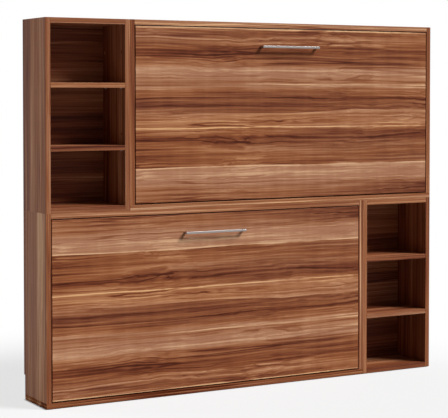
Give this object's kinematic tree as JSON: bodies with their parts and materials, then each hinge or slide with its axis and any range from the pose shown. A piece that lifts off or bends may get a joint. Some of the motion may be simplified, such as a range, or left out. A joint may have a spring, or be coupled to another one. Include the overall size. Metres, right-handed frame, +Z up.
{
  "type": "bunk wall bed",
  "caption": "Bunk wall bed: two side-folding single beds behind flush walnut fronts in stacked cabinets, each with an open shelf unit beside it.",
  "frame": {"origin": "on the floor, at the middle of the bounding box of the closed bed", "axes": "+X to the right along the wall as seen from the front, +Y back towards the wall, +Z up; the fronts face -Y"},
  "size_m": [2.635, 0.37, 2.173],
  "materials": {
    "walnut": "walnut decor, satin, straight grain",
    "front_walnut": "walnut decor in planks, satin, grain along the length",
    "walnut_back": "walnut decor, satin, grain across",
    "plain_walnut": "walnut decor, satin",
    "handle_steel": "fine brushed along the bar",
    "black_plastic": "moulded, fine texture",
    "beech": "lacquered laminated beech",
    "mattress_ticking": "woven ticking, quilted",
    "webbing": "ribbed webbing",
    "rubber": "matte",
    "strut_black": "satin black",
    "strut_chrome": "polished",
    "frame_paint": "fine powder coat",
    "zinc_steel": "zinc plated"
  },
  "bodies": {
    "cabinet": {"lower_bed_side_left": "walnut", "lower_bed_side_right": "walnut", "lower_bed_top": "walnut", "lower_bed_bottom": "walnut", "lower_shelf_side_left": "walnut", "lower_shelf_side_right": "walnut", "lower_shelf_top": "walnut", "lower_shelf_bottom": "walnut", "lower_shelf_back": "walnut_back", "lower_shelves": "walnut", "upper_bed_side_left": "walnut", "upper_bed_side_right": "walnut", "upper_bed_top": "walnut", "upper_bed_bottom": "walnut", "upper_shelf_side_left": "walnut", "upper_shelf_side_right": "walnut", "upper_shelf_top": "walnut", "upper_shelf_bottom": "walnut", "upper_shelf_back": "walnut_back", "upper_shelves": "walnut", "back_rails": "plain_walnut", "wall_plates": "zinc_steel", "shelf_pins": "zinc_steel", "cam_fittings": "zinc_steel", "cabinet_screws": "zinc_steel", "module_bolts": "zinc_steel", "floor_glides": "black_plastic", "pivot_plates": "zinc_steel", "pivot_bolts": "zinc_steel", "stop_pins": "zinc_steel", "rubber_stops": "rubber", "strut_brackets": "zinc_steel"},
    "lower_bed": {"lower_front_panel": "front_walnut", "lower_handle": "handle_steel", "lower_long_rails": "frame_paint", "lower_end_rails": "frame_paint", "lower_arm_plates": "frame_paint", "lower_pivot_bushes": "black_plastic", "lower_slats": "beech", "lower_slat_holders": "black_plastic", "lower_mattress": "mattress_ticking", "lower_straps": "webbing", "lower_frame_screws": "zinc_steel"},
    "upper_bed": {"upper_front_panel": "front_walnut", "upper_handle": "handle_steel", "upper_long_rails": "frame_paint", "upper_end_rails": "frame_paint", "upper_arm_plates": "frame_paint", "upper_pivot_bushes": "black_plastic", "upper_slats": "beech", "upper_slat_holders": "black_plastic", "upper_mattress": "mattress_ticking", "upper_straps": "webbing", "upper_frame_screws": "zinc_steel", "guard_brackets": "frame_paint"},
    "lower_cylinders": {"lower_strut_cylinders": "strut_black"},
    "lower_rods": {"lower_strut_rods": "strut_chrome"},
    "upper_cylinders": {"upper_strut_cylinders": "strut_black"},
    "upper_rods": {"upper_strut_rods": "strut_chrome"},
    "guard": {"guard_rail": "frame_paint"}
  },
  "joints": [
    {"name": "lower_fold", "type": "hinge", "parent": "cabinet", "child": "lower_bed", "pos_m": [-0.2575, -0.12, 0.242], "axis": [1, 0, 0], "range_deg": [0, 90]},
    {"name": "lower_strut_swing", "type": "hinge", "parent": "cabinet", "child": "lower_cylinders", "pos_m": [-0.2575, -0.02, 0.643], "axis": [1, 0, 0], "range_deg": [0, 1.88]},
    {"name": "lower_strut_stroke", "type": "slide", "parent": "lower_cylinders", "child": "lower_rods", "axis": [0, 0.1394, 0.9902], "range_m": [0, 0.09807]},
    {"name": "upper_fold", "type": "hinge", "parent": "cabinet", "child": "upper_bed", "pos_m": [0.2575, -0.12, 1.327], "axis": [1, 0, 0], "range_deg": [0, 90]},
    {"name": "upper_strut_swing", "type": "hinge", "parent": "cabinet", "child": "upper_cylinders", "pos_m": [0.2575, -0.02, 1.728], "axis": [1, 0, 0], "range_deg": [0, 1.88]},
    {"name": "upper_strut_stroke", "type": "slide", "parent": "upper_cylinders", "child": "upper_rods", "axis": [0, 0.1394, 0.9902], "range_m": [0, 0.09807]},
    {"name": "guard_lift", "type": "hinge", "parent": "upper_bed", "child": "guard", "pos_m": [0.2575, 0.077, 2.0723], "axis": [1, 0, 0], "range_deg": [0, 90]}
  ],
  "couplings": [
    {"joint": "lower_strut_swing", "follows": "lower_fold", "ratio": 0.020823},
    {"joint": "lower_strut_stroke", "follows": "lower_fold", "m_per_rad": 0.062429},
    {"joint": "upper_strut_swing", "follows": "upper_fold", "ratio": 0.020823},
    {"joint": "upper_strut_stroke", "follows": "upper_fold", "m_per_rad": 0.062429},
    {"joint": "guard_lift", "follows": "upper_fold", "ratio": 1}
  ]
}
